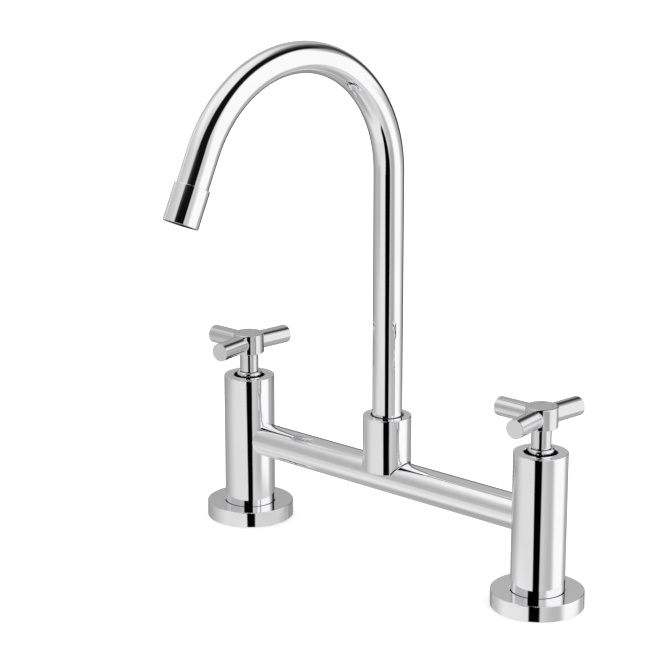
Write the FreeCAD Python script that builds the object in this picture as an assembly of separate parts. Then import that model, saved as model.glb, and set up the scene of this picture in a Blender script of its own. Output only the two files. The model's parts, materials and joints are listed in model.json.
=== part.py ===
import FreeCAD, Part
import os, math
from FreeCAD import Vector as V

# Bridge kitchen faucet: two pillars on round deck flanges, a bridge tube between
# them, a swivelling high-arc spout on a boss at the middle of the bridge, and a
# three-spoke handle on each pillar.
# Frame: origin at deck level midway between the two pillars, +Z up, +X towards
# the cold pillar, -Y towards the person at the sink.

os.makedirs("parts", exist_ok=True)

# ------------------------------------------------------------ driving sizes (mm)
CENTRES = 203.0            # pillar to pillar (8 inch bridge spacing)
HALF = CENTRES / 2.0

FLANGE_R = 24.2            # deck flange
FLANGE_H = 8.35
FLANGE_EDGE = 0.3
FLANGE_GAP_R = 14.55       # shadow groove round the foot of the pillar
FLANGE_GAP_Z = 5.2
FLANGE_LIP_R = 11.5        # lip that the pillar stands on
FLANGE_LIP_Z = 2.5
SEAL_R0, SEAL_R1, SEAL_H = 17.0, 21.0, 1.6

PILLAR_R = 14.05
PILLAR_TOP = 82.4
PILLAR_EDGE = 0.3
INLET_R = 9.3              # G 1/2 female, minor radius
INLET_LEN = 16.5
PASSAGE_R = 5.0
SEAT_Z = 34.0              # seat that the valve cartridge presses on
CHAMBER_R = 8.6            # bore of the pillar above the seat, open at the top
HOLE_CHAMFER = 0.35

BRIDGE_Z = 46.5
BRIDGE_R = 9.2
BRIDGE_BORE_R = 7.2
FERRULE_R = 6.5            # spigot that enters the pillar wall
FERRULE_BORE_R = 5.2
FERRULE_REACH = 9.3        # distance of the spigot's end from the pillar axis

BOSS_R = 12.95
BOSS_BOTTOM = 50.4
BOSS_TOP = 80.3
BOSS_EDGE = 0.5
BRAZE_R = 1.3              # fillet where the boss meets the bridge tube
SOCKET_R = 9.0
SOCKET_FLOOR = 58.2
FEED_R = 5.0

TUBE_R = 7.98              # spout tube
TUBE_BORE_R = 6.98
TUBE_BOTTOM = 66.0
ARCH_Z = 211.95            # height of the arch's centre
ARCH_R = 66.36             # centreline radius
ARCH_SWEEP = 155.5         # degrees
ARCH_TAIL = 17.2           # straight run before the aerator
SPOUT_YAW = -4.0           # the spout stands a little off square, as photographed
NECK = 5.0                 # tube end inside the aerator housing

AER_R = 8.9
AER_LEN = 19.05

HUB_R = 8.42
HUB_BOTTOM = 95.5
HUB_TOP = 106.7
HUB_EDGE = 0.8
STEM_R = 5.2
STEM_BOTTOM = 72.0
SPOKE_R = 5.05
SPOKE_Z = 101.1
SPOKE_REACH = 26.7         # hub axis to spoke end face
SPOKE_ANGLES = (180.0, -83.5, 83.5)   # tail, front, rear (degrees from +X)
COLLAR_R = 6.75
COLLAR_TOP = 84.6
COLLAR_GAP_R = 5.75        # shadow gap round the stem in the collar's top
COLLAR_GAP_Z = 83.4

RUN = 0.08                 # radial running clearance of turning pieces


# ------------------------------------------------------------------- helpers
def cyl(r, z0, z1, x=0.0, y=0.0):
    return Part.makeCylinder(r, z1 - z0, V(x, y, z0), V(0, 0, 1))


def cylx(r, x0, x1, y=0.0, z=0.0):
    return Part.makeCylinder(r, x1 - x0, V(x0, y, z), V(1, 0, 0))


def cyla(r, base, direction, length):
    return Part.makeCylinder(r, length, base, direction)


def ring(r0, r1, z0, z1, x=0.0, y=0.0):
    return cyl(r1, z0, z1, x, y).cut(cyl(r0, z0 - 1.0, z1 + 1.0, x, y))


def oring(big, small, z, x=0.0, y=0.0):
    return Part.makeTorus(big, small, V(x, y, z), V(0, 0, 1))


def round_circles(shape, r, size, z=None, chamfer=False, tol=0.02):
    """Round or chamfer the horizontal circular edges of radius r (at height z)."""
    es = []
    for e in shape.Edges:
        c = e.Curve
        if isinstance(c, Part.Circle) and abs(c.Radius - r) < tol and abs(abs(c.Axis.z) - 1) < 1e-6:
            if z is None or abs(c.Center.z - z) < tol:
                es.append(e)
    if not es:
        raise RuntimeError("no edge r=%g z=%s" % (r, z))
    return shape.makeChamfer(size, es) if chamfer else shape.makeFillet(size, es)


def solid(shape):
    shape = shape.removeSplitter()
    if shape.ShapeType != "Solid" and len(shape.Solids) == 1:
        shape = shape.Solids[0]
    return shape


NODES = {}


def node(name, shape):
    NODES[name] = solid(shape)


# ------------------------------------------------------------------ one side
def side(tag, X):
    inward = -1.0 if X > 0 else 1.0

    # Deck flange: stepped bore with a lip under the pillar's foot and a seal
    # groove in the underside.
    f = cyl(FLANGE_R, 0, FLANGE_H, X)
    f = round_circles(f, FLANGE_R, FLANGE_EDGE, FLANGE_H)
    f = f.cut(cyl(FLANGE_LIP_R, -1, FLANGE_H + 1, X))
    f = f.cut(cyl(PILLAR_R + 0.02, FLANGE_LIP_Z, FLANGE_H + 1, X))
    f = f.cut(cyl(FLANGE_GAP_R, FLANGE_GAP_Z, FLANGE_H + 1, X))
    f = f.cut(ring(SEAL_R0, SEAL_R1, -1, SEAL_H, X))
    node(tag + "_deck_flange", f)
    node(tag + "_flange_seal", ring(SEAL_R0 + 0.02, SEAL_R1 - 0.02, 0, SEAL_H - 0.02, X))

    # Pillar: stands on the flange's lip with a spigot through it, female inlet in the
    # foot, passage, seat, cartridge bore open at the top, and a side port for the
    # bridge spigot.
    p = cyl(PILLAR_R, FLANGE_LIP_Z, PILLAR_TOP, X)
    p = round_circles(p, PILLAR_R, PILLAR_EDGE, PILLAR_TOP)
    p = p.fuse(cyl(FLANGE_LIP_R - 0.03, 0, FLANGE_LIP_Z + 1, X))
    p = p.cut(cyl(INLET_R, -1, INLET_LEN, X))
    p = p.cut(cyl(PASSAGE_R, -1, SEAT_Z + 1, X))
    p = p.cut(cyl(CHAMBER_R, SEAT_Z, PILLAR_TOP + 1, X))
    p = round_circles(p, CHAMBER_R, HOLE_CHAMFER, PILLAR_TOP, chamfer=True)
    a, b = sorted((X, X + inward * (PILLAR_R + 1)))
    p = p.cut(cylx(FERRULE_R + 0.03, a, b, 0, BRIDGE_Z))
    node(tag + "_pillar", p)

    # Cartridge body: thin barrel round the discs, windows above them, threaded
    # shoulder, spindle guide.
    c = cyl(7.4, SEAT_Z + 2.5, 58.0, X)
    c = c.fuse(cyl(CHAMBER_R - 0.02, 58.0, 70.0, X))
    c = c.cut(cyl(6.3, SEAT_Z, 50.5, X))
    c = c.cut(cyl(3.4 + RUN, 50.0, 71.0, X))
    c = c.cut(cyl(4.6, 60.0, 63.0, X))
    w = Part.makeBox(20, 6.0, 6.5, V(X - 10, -3.0, 43.6))
    c = c.cut(w)
    node(tag + "_cartridge_body", c)
    node(tag + "_seat_seal", ring(4.4, 7.3, SEAT_Z, SEAT_Z + 2.5, X))

    # Ceramic discs: each has two quadrant ports.
    def ports(z0, z1, turn):
        q = None
        for k in (0, 180):
            s = Part.makeCylinder(5.2, z1 - z0, V(0, 0, z0), V(0, 0, 1), 78.0)
            s = s.cut(Part.makeCylinder(1.7, z1 - z0 + 2, V(0, 0, z0 - 1), V(0, 0, 1)))
            s.rotate(V(0, 0, 0), V(0, 0, 1), k + turn)
            q = s if q is None else q.fuse(s)
        q.translate(V(X, 0, 0))
        return q

    fd = cyl(6.25, SEAT_Z + 2.5, 39.6, X).cut(ports(SEAT_Z + 1.5, 40.6, 6.0))
    node(tag + "_fixed_disc", fd)
    md = cyl(6.2, 39.65, 42.7, X).cut(ports(38.65, 43.7, 96.0))
    slot = Part.makeBox(2.6, 12.8, 1.3, V(X - 1.3, -6.4, 41.4))
    slot.rotate(V(X, 0, 0), V(0, 0, 1), 45.0)
    md = md.cut(slot)
    node(tag + "_moving_disc", md)

    # Valve spindle: drive bar in the disc's slot, round shank, squared tip in the handle.
    bar = Part.makeBox(2.5, 11.6, 3.0, V(X - 1.25, -5.8, 41.42))
    bar.rotate(V(X, 0, 0), V(0, 0, 1), 45.0)
    s = bar.fuse(cyl(3.4, 44.0, 84.0, X))
    s = s.fuse(cyl(5.6, 47.6, 49.9, X))
    sq = Part.makeBox(4.8, 4.8, 13.6, V(X - 2.4, -2.4, 84.0))
    s = s.fuse(sq)
    s = s.cut(cyl(1.6, 88.0, 98.0, X))
    node(tag + "_valve_spindle", s)
    node(tag + "_spindle_oring", oring(4.6 - 0.56, 0.52, 61.5, X))

    # Gland collar: rounded sleeve seen round the stem in the mouth of the pillar.
    g = ring(STEM_R + RUN, COLLAR_R, 70.0, COLLAR_TOP, X)
    g = round_circles(g, COLLAR_R, 0.95, COLLAR_TOP)
    g = g.cut(cyl(COLLAR_GAP_R, COLLAR_GAP_Z, COLLAR_TOP + 1, X))
    node(tag + "_gland_collar", g)

    # Handle hub with its stem, square socket, screw seat and cap recess.
    h = cyl(HUB_R, HUB_BOTTOM, HUB_TOP, X)
    h = round_circles(h, HUB_R, HUB_EDGE, HUB_TOP)
    h = round_circles(h, HUB_R, 0.35, HUB_BOTTOM)
    h = h.fuse(cyl(STEM_R, STEM_BOTTOM, HUB_BOTTOM + 1, X))
    h = h.cut(cyl(3.4 + 0.03, STEM_BOTTOM - 1, 84.3, X))
    h = h.cut(Part.makeBox(4.86, 4.86, 14.3, V(X - 2.43, -2.43, 84.0)))
    h = h.cut(cyl(2.1, 98.0, 104, X))
    h = h.cut(cyl(3.6, 101.0, 106, X))
    h = h.cut(cyl(5.6, 105.3, 108, X))
    for ang in SPOKE_ANGLES:
        d = V(math.cos(math.radians(ang)), math.sin(math.radians(ang)), 0)
        h = h.cut(cyla(1.75, V(X, 0, SPOKE_Z) + d * 4.4, d, 6.0))
    node(tag + "_handle_hub", h)

    # Three round spokes, each screwed into the hub by an integral stud.
    for nm, ang in zip(("tail", "front", "rear"), SPOKE_ANGLES):
        r = Part.makeCylinder(SPOKE_R, SPOKE_REACH - 5.0, V(5.0, 0, 0), V(1, 0, 0))
        es = [e for e in r.Edges if isinstance(e.Curve, Part.Circle) and abs(e.Curve.Center.x - SPOKE_REACH) < 0.01]
        r = r.makeFillet(0.35, es)
        r = r.cut(Part.makeCylinder(HUB_R + 0.01, 40, V(0, 0, -20), V(0, 0, 1)))
        r = r.fuse(Part.makeCylinder(1.72, 6.0, V(4.5, 0, 0), V(1, 0, 0)))
        r.rotate(V(0, 0, 0), V(0, 0, 1), ang)
        r.translate(V(X, 0, SPOKE_Z))
        node(tag + "_spoke_" + nm, r)

    # Handle screw (countersunk hex socket) and cap.
    k = cyl(1.58, 90.0, 101.2, X).fuse(cyl(3.5, 101.0, 104.2, X))
    hx = Part.Face(Part.makePolygon([V(X + 1.7 * math.cos(math.radians(a)), 1.7 * math.sin(math.radians(a)), 102.2) for a in range(0, 361, 60)]))
    k = k.cut(hx.extrude(V(0, 0, 4)))
    node(tag + "_handle_screw", k)
    cap = cyl(5.57, 105.3, 106.62, X)
    cap = round_circles(cap, 5.57, 0.2, 106.62)
    node(tag + "_handle_cap", cap)


side("hot", -HALF)
side("cold", HALF)

# --------------------------------------------------------------- bridge and boss
# Bridge tube: its ends are coped to sit on the pillars, and a hole at the middle
# feeds the boss.
t = cylx(BRIDGE_R, -HALF, HALF, 0, BRIDGE_Z)
for X in (-HALF, HALF):
    t = t.cut(cyl(PILLAR_R + 0.01, 0, 90, X))
t = t.cut(cylx(BRIDGE_BORE_R, -HALF, HALF, 0, BRIDGE_Z))
t = t.cut(cyl(FEED_R, BRIDGE_Z, BRIDGE_Z + 20))
node("bridge_tube", t)

for nm, X in (("hot", -HALF), ("cold", HALF)):
    s = 1.0 if X < 0 else -1.0        # direction from this pillar towards the boss
    def xc(r, d0, d1):
        a, b = sorted((X + s * d0, X + s * d1))
        return cylx(r, a, b, 0, BRIDGE_Z)
    f = xc(FERRULE_R, FERRULE_REACH, 20.0)
    plug = xc(BRIDGE_BORE_R - 0.02, 14.3, 26.0)
    f = f.fuse(plug)
    f = f.cut(xc(FERRULE_BORE_R, 5, 30))
    # ring groove
    f = f.cut(xc(8.0, 10.0, 11.7).cut(xc(5.75, 9.0, 12.7)))
    node(nm + "_bridge_ferrule", f)
    node(nm + "_bridge_oring", Part.makeTorus(6.12, 0.36, V(X + s * 10.85, 0, BRIDGE_Z), V(1, 0, 0)))

# Boss: saddled on the bridge tube, with a blind socket for the spout's spigot.
# A braze fillet runs round the foot where the two cylinders meet.
b = cyl(BOSS_R, 20.0, BOSS_TOP).fuse(cylx(BRIDGE_R, -30, 30, 0, BRIDGE_Z))
b = b.makeFillet(BRAZE_R, [e for e in b.Edges if not isinstance(e.Curve, (Part.Line, Part.Circle))])
b = b.cut(cylx(BRIDGE_R + 0.01, -40, 40, 0, BRIDGE_Z))
b = b.cut(Part.makeBox(100, 100, 60, V(-50, -50, BOSS_BOTTOM - 60)))
b = round_circles(b, BOSS_R, BOSS_EDGE, BOSS_TOP)
b = b.cut(cyl(FEED_R, BRIDGE_Z, 70))
b = b.cut(cyl(SOCKET_R, SOCKET_FLOOR, BOSS_TOP + 1))
b = b.cut(cyla(2.02, V(0, 5, 62.6), V(0, 1, 0), 20))
node("spout_boss", b)

# Glide ring in the mouth of the boss, a little below its top so that a dark line shows.
gr = ring(TUBE_R + RUN, SOCKET_R - 0.02, 77.4, BOSS_TOP - 0.7)
node("spout_glide_ring", gr)

# Grub screw in the back of the boss: its tip runs in the spigot's groove.
g = cyla(2.0, V(0, 9.15, 62.6), V(0, 1, 0), 3.5)
g = g.fuse(cyla(1.2, V(0, 8.2, 62.6), V(0, 1, 0), 1.2))
hx = Part.Face(Part.makePolygon([V(1.0 * math.cos(math.radians(a)), 10.9, 62.6 + 1.0 * math.sin(math.radians(a))) for a in range(0, 361, 60)]))
g = g.cut(hx.extrude(V(0, 4, 0)))
node("spout_grub_screw", g)

# ---------------------------------------------------------------------- spout
# Modelled in the plane X = 0 towards -Y, then turned by SPOUT_YAW.
th = math.radians(ARCH_SWEEP)
P0 = V(0, 0, TUBE_BOTTOM)
P1 = V(0, 0, ARCH_Z)
PM = V(0, -ARCH_R * (1 - math.cos(th / 2)), ARCH_Z + ARCH_R * math.sin(th / 2))
P2 = V(0, -ARCH_R * (1 - math.cos(th)), ARCH_Z + ARCH_R * math.sin(th))
T2 = V(0, -math.sin(th), math.cos(th))       # direction of the tube at its end
P3 = P2 + T2 * (ARCH_TAIL + NECK)
E = P2 + T2 * ARCH_TAIL                      # upper end of the aerator housing


def sweep_tube(r):
    a = Part.makeCylinder(r, P1.z - P0.z, P0, V(0, 0, 1))
    prof = Part.Face(Part.Wire(Part.Circle(P1, V(0, 0, 1), r).toShape()))
    arc = prof.revolve(V(0, -ARCH_R, ARCH_Z), V(1, 0, 0), ARCH_SWEEP)
    c = Part.makeCylinder(r, ARCH_TAIL + NECK, P2, T2)
    return a.fuse(arc).fuse(c)


outer = sweep_tube(TUBE_R)
if outer.BoundBox.ZMax < ARCH_Z + ARCH_R:
    raise RuntimeError("arch swept the wrong way")
a = Part.makeCylinder(TUBE_BORE_R, P1.z - P0.z + 1, P0 - V(0, 0, 1), V(0, 0, 1))
prof = Part.Face(Part.Wire(Part.Circle(P1, V(0, 0, 1), TUBE_BORE_R).toShape()))
arc = prof.revolve(V(0, -ARCH_R, ARCH_Z), V(1, 0, 0), ARCH_SWEEP)
c = Part.makeCylinder(TUBE_BORE_R, ARCH_TAIL + NECK + 1, P2, T2)
tube = outer.cut(a).cut(arc).cut(c)

YAW = (V(0, 0, 0), V(0, 0, 1), SPOUT_YAW)


def yaw(s):
    s = s.copy()
    s.rotate(*YAW)
    return s


node("spout_tube", yaw(tube))

# Spigot brazed into the foot of the tube: a ring groove and the grub screw's groove.
sp = cyl(SOCKET_R - RUN, SOCKET_FLOOR + 0.1, TUBE_BOTTOM)
sp = sp.fuse(cyl(TUBE_BORE_R - 0.02, TUBE_BOTTOM, TUBE_BOTTOM + 8.0))
sp = sp.cut(cyl(5.4, 50, 80))
sp = sp.cut(ring(7.5, 10, 59.9 - 0.95, 59.9 + 0.95))
sp = sp.cut(ring(7.9, 10, 62.6 - 1.5, 62.6 + 1.5))
node("spout_spigot", yaw(sp))
node("spout_oring", oring(8.2, 0.68, 59.9))


# Aerator, built along its own axis from z = 0 (upper end) to z = -AER_LEN, then placed.
def place(s):
    s = s.copy()
    # local -Z becomes T2: rotate about X
    ang = math.degrees(math.atan2(-T2.y, -T2.z))     # tilt towards -Y
    s.rotate(V(0, 0, 0), V(1, 0, 0), -ang)
    s.translate(E)
    return yaw(s)


hs = cyl(AER_R, -AER_LEN, 0)
hs = round_circles(hs, AER_R, 0.3, 0)
hs = round_circles(hs, AER_R, 0.2, -AER_LEN)
hs = hs.cut(cyl(TUBE_R + 0.02, -NECK - 0.02, 1))
hs = hs.cut(cyl(7.95, -17.7, 0))
hs = hs.cut(cyl(7.5, -AER_LEN - 1, -16))
node("aerator_housing", place(hs))
node("aerator_washer", place(ring(5.4, 7.9, -6.9, -NECK - 0.05)))

ins = cyl(7.9, -17.66, -6.95).fuse(cyl(7.4, -AER_LEN + 0.12, -17))
ins = ins.cut(cyl(6.4, -12.0, -6)).cut(cyl(6.3, -20, -15.2))
for i in range(-3, 4):
    for j in range(-3, 4):
        x, y = 1.75 * (i + 0.5 * (j % 2)), 1.75 * 0.866 * j
        if math.hypot(x, y) < 5.3:
            ins = ins.cut(cyl(0.55, -16, -11, x, y))
node("aerator_insert", place(ins))

sc = cyl(6.26, -17.6, -17.1)
cells = []
for i in range(-5, 6):
    for j in range(-5, 6):
        x, y = 1.06 * i, 1.06 * j
        if math.hypot(x, y) < 5.2:
            cells.append(Part.makeBox(0.66, 0.66, 1.5, V(x - 0.33, y - 0.33, -18.1)))
sc = sc.cut(Part.makeCompound(cells))
node("aerator_screen", place(sc))

# -------------------------------------------------------------------- write out
for name, shape in NODES.items():
    if not shape.isValid():
        print("INVALID", name)
    n = len(shape.Solids)
    if n != 1:
        print("SOLIDS", name, n)
    shape.exportStep("parts/%s.step" % name)
print(len(NODES), "nodes")
bb = None
for s in NODES.values():
    if bb is None:
        bb = FreeCAD.BoundBox(s.BoundBox)
    else:
        bb.add(s.BoundBox)
print("box", [round(v, 3) for v in (bb.XMin, bb.YMin, bb.ZMin, bb.XMax, bb.YMax, bb.ZMax)])
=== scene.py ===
# Bridge kitchen faucet: looks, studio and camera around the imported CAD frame.
import bpy
import json
import math
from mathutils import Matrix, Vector

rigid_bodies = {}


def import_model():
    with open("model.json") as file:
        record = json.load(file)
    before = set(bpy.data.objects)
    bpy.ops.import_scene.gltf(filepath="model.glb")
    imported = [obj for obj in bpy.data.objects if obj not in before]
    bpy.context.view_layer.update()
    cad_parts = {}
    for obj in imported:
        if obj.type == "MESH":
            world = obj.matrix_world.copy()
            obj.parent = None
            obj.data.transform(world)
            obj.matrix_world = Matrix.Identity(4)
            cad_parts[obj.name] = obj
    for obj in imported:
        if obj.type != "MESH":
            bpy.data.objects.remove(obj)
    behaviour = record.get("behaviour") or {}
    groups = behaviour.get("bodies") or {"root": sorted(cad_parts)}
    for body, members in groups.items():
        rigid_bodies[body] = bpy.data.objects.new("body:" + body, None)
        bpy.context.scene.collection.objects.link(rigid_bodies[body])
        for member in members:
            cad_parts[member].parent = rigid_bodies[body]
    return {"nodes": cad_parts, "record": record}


for ob in list(bpy.data.objects):
    bpy.data.objects.remove(ob)
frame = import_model()
bpy.context.view_layer.update()


scene = bpy.context.scene
nodes = frame["nodes"]

# ------------------------------------------------------------------ camera
# Solved from the outlines of the pillars, flanges, boss, bridge tube and spout.
AZ, EL, DIST = 0.7287, 0.2735, 1.21781
TARGET = Vector((-0.04082, 0.0, 0.11934))
FOCAL_PX = 2258.194
back = Vector((math.sin(AZ) * math.cos(EL), -math.cos(AZ) * math.cos(EL), math.sin(EL)))
cam_data = bpy.data.cameras.new("camera")
cam_data.sensor_fit = "HORIZONTAL"
cam_data.sensor_width = 36.0
cam_data.lens = 36.0 * FOCAL_PX / 660.0
cam_data.clip_start = 0.01
cam_data.clip_end = 60.0
cam = bpy.data.objects.new("camera", cam_data)
scene.collection.objects.link(cam)
cam.location = TARGET + back * DIST
cam.rotation_euler = (-back).to_track_quat("-Z", "Y").to_euler()
scene.camera = cam
scene.view_settings.view_transform = "Standard"
scene.view_settings.look = "None"


# ------------------------------------------------------------ node expressions
class Ex:
    """A scalar in a node tree, so that shading can be written as arithmetic."""

    def __init__(self, tree, out):
        self.tree, self.out = tree, out

    def _m(self, op, *args, clamp=False):
        n = self.tree.nodes.new("ShaderNodeMath")
        n.operation = op
        n.use_clamp = clamp
        for i, a in enumerate(args):
            if isinstance(a, Ex):
                self.tree.links.new(a.out, n.inputs[i])
            else:
                n.inputs[i].default_value = float(a)
        return Ex(self.tree, n.outputs[0])

    def __add__(self, o): return self._m("ADD", self, o)
    def __radd__(self, o): return self._m("ADD", o, self)
    def __sub__(self, o): return self._m("SUBTRACT", self, o)
    def __rsub__(self, o): return self._m("SUBTRACT", o, self)
    def __mul__(self, o): return self._m("MULTIPLY", self, o)
    def __rmul__(self, o): return self._m("MULTIPLY", o, self)
    def __neg__(self): return self._m("MULTIPLY", self, -1.0)


def deg(v): return v * (180.0 / math.pi)
def atan2(p, q): return p._m("ARCTAN2", p, q)
def asin(v): return v._m("ARCSINE", v)
def absv(v): return v._m("ABSOLUTE", v)
def maxv(v, o): return v._m("MAXIMUM", v, o)
def sq(v): return v * v
def power(v, e): return v._m("POWER", v, e)


def sm(v, lo, hi):
    """Smooth step of v from 0 at lo to 1 at hi."""
    n = v.tree.nodes.new("ShaderNodeMapRange")
    n.interpolation_type = "SMOOTHSTEP"
    for i, a in enumerate((v, lo, hi, 0.0, 1.0)):
        if isinstance(a, Ex):
            v.tree.links.new(a.out, n.inputs[i])
        else:
            n.inputs[i].default_value = float(a)
    return Ex(v.tree, n.outputs[0])


def mix(p, q, t):
    return p + (q - p) * t if isinstance(p, Ex) or isinstance(q, Ex) else p + t * (q - p)


def win(v, lo, hi, s):
    return sm(v, lo - s, lo + s) * (1.0 - sm(v, hi - s, hi + s))


# ------------------------------------------------------------------ studio
# A light tent of 0.69 m radius round the faucet, seen only in reflections: soft
# panels, a grey room and the dark gap that the camera looks through, which runs
# on overhead and down behind. Directions in degrees: azimuth from -Y towards +X,
# and elevation. Values are on the display scale.
TENT_R, TENT_C = 0.69, Vector((0.0, 0.0, 0.12))


def studio(x, y, z):
    a = deg(atan2(x, -y))
    E = deg(asin(z))
    left = 1 - sm(a, 34, 40)
    # wall at eye level: grey at the left, bright beside the camera, grey right of it
    V = mix(0.62, 0.885, sm(a, -100, -5))
    V = mix(V, 0.70, win(a, -66, -26, 8) * sm(E, -14, -6))
    V = mix(V, mix(0.79, 0.71, sm(a, 54, 82)), sm(a, 44, 50))
    V = mix(V, 0.66, win(a, 58, 92, 6) * win(E, -17, 4, 3))
    V = mix(V, 0.665, sm(a, 140, 160))
    # floor cloth: its near part is bright; the part at the faucet's foot is greyer, painted shade of the faucet's own
    # shadow on the reflected floor
    V = mix(V, mix(0.62, 0.86, sm(a, -100, -28)), left * sm(-E, 16, 20))
    V = mix(V, mix(mix(0.72, 0.90, sm(a, -90, -40)), mix(0.83, 0.73, sm(a, 125, 145)), sm(a, 36, 56)), sm(-E, 28, 33))
    V = mix(V, mix(mix(0.66, 0.87, sm(a, -50, 0)), mix(0.78, 0.65, sm(a, 100, 140)), sm(a, 10, 60)), sm(-E, 44, 60))
    # left side above eye level: wall, then the overhead cloth with a seam
    V = mix(V, mix(0.69, 0.88, sm(a, -104, -92)), left * sm(E, 2, 18))
    V = mix(V, 0.70, win(a, -100, -82, 5) * win(E, 18, 48, 6))
    V = mix(V, mix(0.69, 0.945, sm(E, 6, 56)), left * sm(a, -72, -60) * sm(E, -2, 8))
    V = mix(V, 0.80, win(a, -8, 30, 9) * sm(E, 6, 20) * (1 - sm(E, 34, 50)))
    V = mix(V, mix(0.955, 0.80, sm(a, -45, 8)), sm(E + 0.4 * (a + 60), 42, 52) * (1 - sm(a, 10, 40)) * (1 - sm(-a, 112, 190)))
    V = mix(V, mix(0.93, 0.74, sm(-a, 110, 180)), sm(E, 50, 64) * left)
    V = mix(V, 0.88, sm(E, 72, 86))
    seam = a + 66 + 2.1 * maxv(E - 40, 0.0)
    V = mix(V, 0.76, win(seam, -3, 3, 4) * win(E, 14, 60, 5))
    # right: big softbox
    al = maxv(94 - 0.6 * (E + 20), 62.0)
    ar = 149 - 8 * sm(E, -8, 2) + 25 * sm(E, 6, 18) - 22 * sm(E, 28, 40)
    V = mix(V, 0.975, sm(a - al, -10, 9) * (1 - sm(a - ar, -11, 11)) * sm(E, -32, -28) * (1 - sm(E, 56, 76)))
    # dark room behind
    dark = sm(-a, 100, 113) + sm(a, 172, 179)
    V = mix(V, 0.58, dark * win(E, -46, -18, 4))
    V = mix(V, 0.28, dark * win(E, -18, 3, 4))
    V = mix(V, 0.20, (sm(-a, 157, 168) + sm(a, 169, 177)) * win(E, 0, 46, 6))
    # dark gap in front of the camera
    lo = 27 - 0.5 * (E + 31) + 0.2 * maxv(E - 12, 0.0)
    V = mix(V, 0.035, sm(a - lo, -2.5, 2.5) * (1 - sm(a, 47, 52)) * (1 - sm(-E, 36, 42)) * (1 - sm(E, 26, 36)))
    # its run overhead and down behind
    q = x * -0.897 + y * -0.182 + z * 0.402
    s = deg(atan2(x * 0.409 + z * 0.912, x * 0.166 - y * 0.983 - z * 0.074))
    ql = mix(mix(-0.275, -0.07, sm(s, 46, 86)), 0.02, sm(s, 124, 144))
    hw = mix(mix(0.035, 0.08, sm(s, 60, 84)), 0.16, sm(s, 120, 140))
    q0 = mix(mix(0.27, 0.03, sm(s, 84, 122)), 0.14, sm(s, 128, 144))
    q1 = mix(mix(0.38, 0.56, sm(s, 84, 122)), 0.42, sm(s, 128, 144))
    on = sm(q, ql - hw, ql + hw) * (1 - sm(q, q0, q1)) * sm(s, 26, 38) * (1 - sm(s, 150, 170))
    V = mix(V, mix(0.09, 0.28, sm(s, 120, 140)), on)
    return V


def emission_tree(name):
    m = bpy.data.materials.new(name)
    m.use_nodes = True
    t = m.node_tree
    t.nodes.clear()
    return m, t


def uv_sphere(name, r, centre, nu=96, nv=48):
    vs, fs = [], []
    for j in range(1, nv):
        th = math.pi * j / nv
        for i in range(nu):
            ph = 2 * math.pi * i / nu
            vs.append((r * math.sin(th) * math.cos(ph), r * math.sin(th) * math.sin(ph), r * math.cos(th)))
    top, bot = len(vs), len(vs) + 1
    vs += [(0, 0, r), (0, 0, -r)]
    for j in range(nv - 2):
        for i in range(nu):
            k = (i + 1) % nu
            fs.append((j * nu + i, j * nu + k, (j + 1) * nu + k, (j + 1) * nu + i))
    for i in range(nu):
        k = (i + 1) % nu
        fs.append((top, k, i))
        fs.append((bot, (nv - 2) * nu + i, (nv - 2) * nu + k))
    me = bpy.data.meshes.new(name)
    me.from_pydata(vs, [], fs)
    ob = bpy.data.objects.new(name, me)
    ob.location = centre
    scene.collection.objects.link(ob)
    return ob


tent = uv_sphere("tent", TENT_R, TENT_C)
m, t = emission_tree("tent_cloth")
pos = t.nodes.new("ShaderNodeTexCoord")
nrm = t.nodes.new("ShaderNodeVectorMath"); nrm.operation = "NORMALIZE"
t.links.new(pos.outputs["Object"], nrm.inputs[0])
sep = t.nodes.new("ShaderNodeSeparateXYZ")
t.links.new(nrm.outputs[0], sep.inputs[0])
V = studio(Ex(t, sep.outputs[0]), Ex(t, sep.outputs[1]), Ex(t, sep.outputs[2]))
em = t.nodes.new("ShaderNodeEmission")
out = t.nodes.new("ShaderNodeOutputMaterial")
t.links.new((power(V, 2.2) * (1.0 / 0.95)).out, em.inputs["Strength"])
t.links.new(em.outputs[0], out.inputs["Surface"])
m.cycles.emission_sampling = "NONE"
tent.data.materials.append(m)
tent.visible_camera = tent.visible_diffuse = tent.visible_shadow = tent.visible_transmission = tent.visible_volume_scatter = False

# Pale floor: lit by the room, left out of the reflections, which see the tent below it.
me = bpy.data.meshes.new("floor")
S = 12.0
me.from_pydata([(-S, -S, 0), (S, -S, 0), (S, S, 0), (-S, S, 0)], [], [(0, 1, 2, 3)])
floor = bpy.data.objects.new("floor", me)
floor.location.z = -0.0002
scene.collection.objects.link(floor)
m, t = emission_tree("floor_paper")
b = t.nodes.new("ShaderNodeBsdfPrincipled")
b.inputs["Base Color"].default_value = (0.92, 0.92, 0.92, 1)
b.inputs["Roughness"].default_value = 0.9
b.inputs["Specular IOR Level"].default_value = 0.0
b.inputs["Emission Color"].default_value = (1, 1, 1, 1)
b.inputs["Emission Strength"].default_value = 0.12
out = t.nodes.new("ShaderNodeOutputMaterial")
t.links.new(b.outputs[0], out.inputs["Surface"])
m.cycles.emission_sampling = "NONE"
me.materials.append(m)
floor.visible_glossy = False

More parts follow.
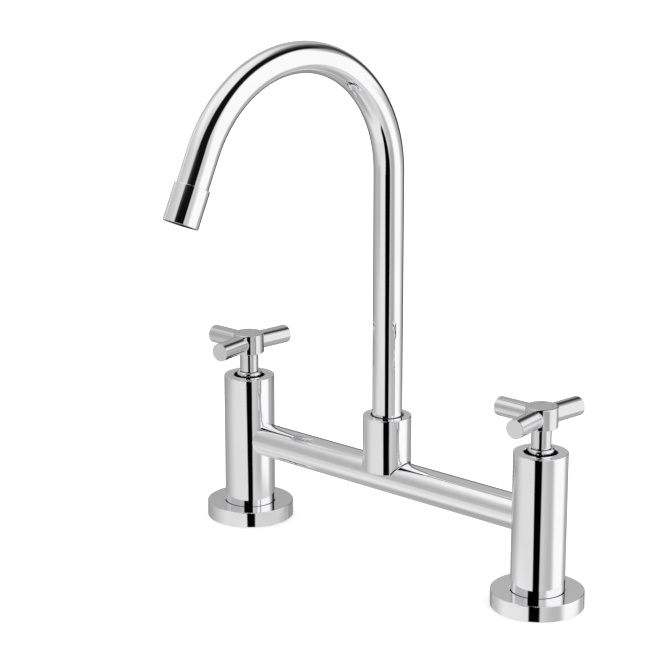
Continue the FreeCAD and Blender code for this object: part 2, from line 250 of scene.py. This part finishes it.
world = bpy.data.worlds.new("room")
scene.world = world
world.use_nodes = True
t = world.node_tree
t.nodes.clear()
lp = t.nodes.new("ShaderNodeLightPath")
bg1 = t.nodes.new("ShaderNodeBackground"); bg1.inputs[0].default_value = (1, 1, 1, 1); bg1.inputs[1].default_value = 1.35
bg2 = t.nodes.new("ShaderNodeBackground"); bg2.inputs[0].default_value = (1, 1, 1, 1); bg2.inputs[1].default_value = 1.0
mx = t.nodes.new("ShaderNodeMixShader")
out = t.nodes.new("ShaderNodeOutputWorld")
t.links.new(lp.outputs["Is Camera Ray"], mx.inputs[0])
t.links.new(bg1.outputs[0], mx.inputs[1])
t.links.new(bg2.outputs[0], mx.inputs[2])
t.links.new(mx.outputs[0], out.inputs["Surface"])


# ---------------------------------------------------------------- materials
def mat(slot):
    m = bpy.data.materials.new("look_" + slot)
    m.use_nodes = True
    t = m.node_tree
    t.nodes.clear()
    b = t.nodes.new("ShaderNodeBsdfPrincipled")
    out = t.nodes.new("ShaderNodeOutputMaterial")
    t.links.new(b.outputs[0], out.inputs["Surface"])
    return m, t, b


def noise(t, scale, detail=3.0, rough=0.5, stretch=None, distortion=0.0):
    """Noise in object metres; scale is in features per metre."""
    tc = t.nodes.new("ShaderNodeTexCoord")
    src = tc.outputs["Object"]
    if stretch:
        mp = t.nodes.new("ShaderNodeMapping")
        mp.inputs["Scale"].default_value = stretch
        t.links.new(src, mp.inputs["Vector"])
        src = mp.outputs[0]
    n = t.nodes.new("ShaderNodeTexNoise")
    n.inputs["Scale"].default_value = scale
    n.inputs["Detail"].default_value = detail
    n.inputs["Roughness"].default_value = rough
    n.inputs["Distortion"].default_value = distortion
    t.links.new(src, n.inputs["Vector"])
    return n.outputs["Fac"]


def ramp(t, fac, stops):
    r = t.nodes.new("ShaderNodeValToRGB")
    e = r.color_ramp.elements
    while len(e) > 1:
        e.remove(e[-1])
    for i, (p, c) in enumerate(stops):
        s = e[0] if i == 0 else e.new(p)
        s.position = p
        s.color = (c, c, c, 1) if isinstance(c, float) else (*c, 1)
    t.links.new(fac, r.inputs[0])
    return r.outputs[0]


def bump(t, b, height, strength, distance, into=None):
    n = t.nodes.new("ShaderNodeBump")
    n.inputs["Strength"].default_value = strength
    n.inputs["Distance"].default_value = distance
    t.links.new(height, n.inputs["Height"])
    if into is not None:
        t.links.new(into, n.inputs["Normal"])
    t.links.new(n.outputs[0], b.inputs["Normal"])
    return n.outputs[0]


def mul(t, p, q):
    n = t.nodes.new("ShaderNodeMath"); n.operation = "MULTIPLY"
    for i, a in enumerate((p, q)):
        if isinstance(a, float):
            n.inputs[i].default_value = a
        else:
            t.links.new(a, n.inputs[i])
    return n.outputs[0]


def add(t, p, q):
    n = t.nodes.new("ShaderNodeMath"); n.operation = "ADD"
    for i, a in enumerate((p, q)):
        if isinstance(a, float):
            n.inputs[i].default_value = a
        else:
            t.links.new(a, n.inputs[i])
    return n.outputs[0]


looks = {}

# Polished chrome plate: mirror with faint handling haze and the slight waviness of buffed brass.
# The handles get a copy of this chrome with a darker base colour than the body.
for slot, dull, bright in (
    ("chrome", (0.941, 0.939, 0.952), (0.969, 0.967, 0.979)),
    ("handle_chrome", (0.785, 0.783, 0.795), (0.825, 0.823, 0.834)),
):
    m, t, b = mat(slot)
    b.inputs["Metallic"].default_value = 1.0
    haze = noise(t, 38.0, 4.0, 0.6, distortion=0.4)
    grit = noise(t, 900.0, 2.0, 0.5)
    t.links.new(ramp(t, haze, [(0.30, dull), (0.72, bright)]), b.inputs["Base Color"])
    t.links.new(add(t, ramp(t, haze, [(0.40, 0.004), (0.80, 0.022)]), mul(t, grit, 0.008)), b.inputs["Roughness"])
    wave = bump(t, b, noise(t, 55.0, 1.0, 0.4), 0.10, 0.0006)
    bump(t, b, grit, 0.05, 0.00002, into=wave)
    looks[slot] = m

# Machined brass: lathe rings and a warm, slightly uneven tone.
m, t, b = mat("bare_brass")
b.inputs["Metallic"].default_value = 1.0
lathe = noise(t, 90.0, 3.0, 0.6, stretch=(1, 1, 60))
t.links.new(ramp(t, noise(t, 70.0, 4.0, 0.6), [(0.3, (0.62, 0.45, 0.20)), (0.7, (0.80, 0.62, 0.32))]), b.inputs["Base Color"])
t.links.new(ramp(t, lathe, [(0.3, 0.22), (0.7, 0.40)]), b.inputs["Roughness"])
bump(t, b, lathe, 0.25, 0.00006)
looks["bare_brass"] = m

# Black seal rubber: matt with a fine bloom.
m, t, b = mat("seal_rubber")
t.links.new(ramp(t, noise(t, 240.0, 5.0, 0.7), [(0.3, (0.012, 0.012, 0.013)), (0.75, (0.040, 0.040, 0.042))]), b.inputs["Base Color"])
t.links.new(ramp(t, noise(t, 500.0, 3.0, 0.6), [(0.3, 0.55), (0.7, 0.78)]), b.inputs["Roughness"])
bump(t, b, noise(t, 1600.0, 3.0, 0.6), 0.3, 0.00004)
looks["seal_rubber"] = m

# Lapped ceramic: hard white with faint speckle.
m, t, b = mat("disc_ceramic")
b.inputs["Coat Weight"].default_value = 0.4
b.inputs["Coat Roughness"].default_value = 0.08
t.links.new(ramp(t, noise(t, 1500.0, 2.0, 0.5), [(0.25, (0.80, 0.79, 0.76)), (0.5, (0.88, 0.87, 0.84)), (0.8, (0.91, 0.905, 0.88))]), b.inputs["Base Color"])
t.links.new(ramp(t, noise(t, 300.0, 3.0, 0.6), [(0.3, 0.16), (0.7, 0.28)]), b.inputs["Roughness"])
bump(t, b, noise(t, 2500.0, 2.0, 0.5), 0.08, 0.00002)
looks["disc_ceramic"] = m


def steel(slot, lo, hi, r0, r1, stretch):
    m, t, b = mat(slot)
    b.inputs["Metallic"].default_value = 1.0
    g = noise(t, 400.0, 4.0, 0.65, stretch=stretch)
    t.links.new(ramp(t, g, [(0.3, lo), (0.7, hi)]), b.inputs["Base Color"])
    t.links.new(ramp(t, g, [(0.3, r0), (0.7, r1)]), b.inputs["Roughness"])
    bump(t, b, g, 0.2, 0.00003)
    looks[slot] = m


steel("screw_steel", (0.42, 0.42, 0.43), (0.62, 0.62, 0.63), 0.25, 0.42, (1, 1, 8))
steel("screen_steel", (0.50, 0.50, 0.51), (0.68, 0.68, 0.69), 0.22, 0.36, (6, 1, 1))


def plastic(slot, lo, hi, r0, r1):
    m, t, b = mat(slot)
    t.links.new(ramp(t, noise(t, 300.0, 4.0, 0.6), [(0.3, lo), (0.7, hi)]), b.inputs["Base Color"])
    t.links.new(ramp(t, noise(t, 900.0, 2.0, 0.5), [(0.3, r0), (0.7, r1)]), b.inputs["Roughness"])
    bump(t, b, noise(t, 2200.0, 2.0, 0.5), 0.15, 0.00003)
    looks[slot] = m


plastic("glide_plastic", (0.020, 0.020, 0.022), (0.045, 0.045, 0.048), 0.38, 0.52)
plastic("insert_plastic", (0.012, 0.012, 0.013), (0.034, 0.034, 0.036), 0.32, 0.46)

slot_of = {s["node"]: s["material_slot"] for s in frame["record"]["subparts"]}
for name, ob in nodes.items():
    for i in range(max(1, len(ob.material_slots))):
        if len(ob.data.materials) == 0:
            ob.data.materials.append(looks[slot_of[name]])
        else:
            ob.material_slots[i].material = looks[slot_of[name]]

bpy.context.view_layer.update()
